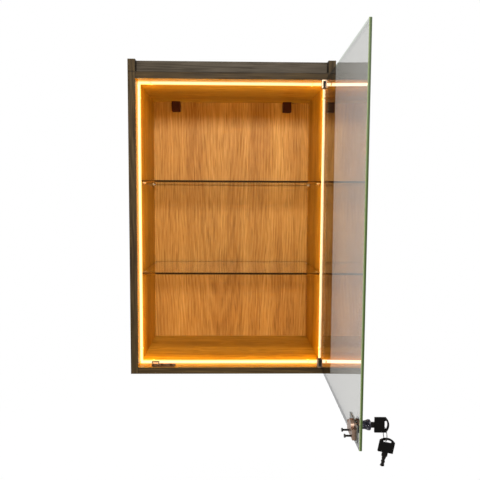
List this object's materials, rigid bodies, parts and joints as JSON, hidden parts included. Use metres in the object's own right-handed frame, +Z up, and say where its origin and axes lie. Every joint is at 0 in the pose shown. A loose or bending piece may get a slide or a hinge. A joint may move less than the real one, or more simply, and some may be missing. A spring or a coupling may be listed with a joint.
{
  "type": "display case",
  "caption": "Wall-hung display case with a lit oak inside, glass shelves on pins and a frameless glass door with pivot hinges, a cylinder lock and keys on a split ring.",
  "frame": {"origin": "midway between the two wall-screw holes, on the wall face of the back panel", "axes": "+X to the right as seen from the room, +Y into the wall, +Z up"},
  "size_m": [0.5337, 0.7612, 0.7961],
  "materials": {
    "outer_decor": "matt dark grained coating",
    "two_tone_board": "oak grain inside, dark decor outside",
    "oak_board": "satin oak grain",
    "beech": "raw",
    "zinc_steel": "zinc plated",
    "black_plastic": "fine matt",
    "clear_glass": "clear, polished edges",
    "nickel": "bright nickel",
    "soft_clear": "soft clear pad",
    "opal": "milky, lit from inside",
    "tape": "white circuit tape",
    "white_plastic": "fine matt",
    "grey_rubber": "matt",
    "nylon": "natural nylon",
    "key_metal": "nickel plated"
  },
  "bodies": {
    "carcass": {"side_left": "two_tone_board", "side_right": "two_tone_board", "top_panel": "two_tone_board", "bottom_panel": "two_tone_board", "back_panel": "oak_board", "back_screws": "zinc_steel", "edge_bands": "outer_decor", "crown_left": "outer_decor", "crown_right": "outer_decor", "crown_fascia": "outer_decor", "carcass_dowels": "beech", "crown_dowels": "beech", "hanger_left": "zinc_steel", "hanger_right": "zinc_steel", "hanger_screws": "zinc_steel", "hanger_cover_left": "black_plastic", "hanger_cover_right": "black_plastic", "shelf_pins": "nickel", "shelf_pads": "soft_clear", "led_diffuser_top": "opal", "led_diffuser_bottom": "opal", "led_diffuser_left": "opal", "led_diffuser_right": "opal", "led_tapes": "tape", "led_clips": "soft_clear", "led_driver": "white_plastic", "driver_screws": "zinc_steel", "led_lead": "white_plastic", "cable_grommet": "grey_rubber", "strike_plate": "nickel", "strike_screws": "nickel", "hinge_bush_top": "nylon", "hinge_bush_bottom": "nylon"},
    "door": {"door_glass": "clear_glass", "hinge_clip_top": "nickel", "hinge_clip_bottom": "nickel", "hinge_pin_top": "zinc_steel", "hinge_pin_bottom": "zinc_steel", "hinge_pads": "grey_rubber", "hinge_grubs": "zinc_steel", "lock_cylinder": "nickel", "lock_gasket": "grey_rubber", "lock_pad": "grey_rubber", "lock_plate": "nickel", "lock_case": "nickel", "lock_screws": "key_metal"},
    "lock_core": {"lock_plug": "nickel", "lock_cam": "zinc_steel"},
    "bolt": {"lock_bolt": "zinc_steel"},
    "key": {"key_blade": "key_metal", "key_head": "black_plastic"},
    "ring": {"key_ring": "key_metal"},
    "spare": {"spare_blade": "key_metal", "spare_head": "black_plastic"},
    "upper_shelf": {"shelf_upper": "clear_glass"},
    "lower_shelf": {"shelf_lower": "clear_glass"}
  },
  "joints": [
    {"name": "door_swing", "type": "hinge", "parent": "carcass", "child": "door", "pos_m": [0.2236, -0.3072, -0.688], "axis": [0, 0, 1], "range_deg": [-88.65, 5]},
    {"name": "lock_turn", "type": "hinge", "parent": "door", "child": "lock_core", "pos_m": [0.23984, -0.7217, -0.6598], "axis": [0.9997, -0.0236, 0], "range_deg": [-90, 0]},
    {"name": "bolt_drop", "type": "slide", "parent": "door", "child": "bolt", "axis": [0, 0, -1], "range_m": [0, 0.0081]},
    {"name": "key_pull", "type": "slide", "parent": "lock_core", "child": "key", "axis": [0.9997, -0.0236, 0], "range_m": [0, 0.025]},
    {"name": "ring_swing", "type": "hinge", "parent": "key", "child": "ring", "pos_m": [0.26633, -0.72232, -0.6658], "axis": [0.0236, 0.9997, 0], "range_deg": [-25, 25]},
    {"name": "spare_swing", "type": "hinge", "parent": "ring", "child": "spare", "pos_m": [0.26633, -0.72232, -0.6878], "axis": [0.0236, 0.9997, 0], "range_deg": [-25, 25]},
    {"name": "upper_shelf_lift", "type": "slide", "parent": "carcass", "child": "upper_shelf", "axis": [0, 0, 1], "range_m": [0, 0.03]},
    {"name": "lower_shelf_lift", "type": "slide", "parent": "carcass", "child": "lower_shelf", "axis": [0, 0, 1], "range_m": [0, 0.03]}
  ],
  "couplings": [
    {"joint": "bolt_drop", "follows": "lock_turn", "m_per_rad": -0.005093}
  ]
}
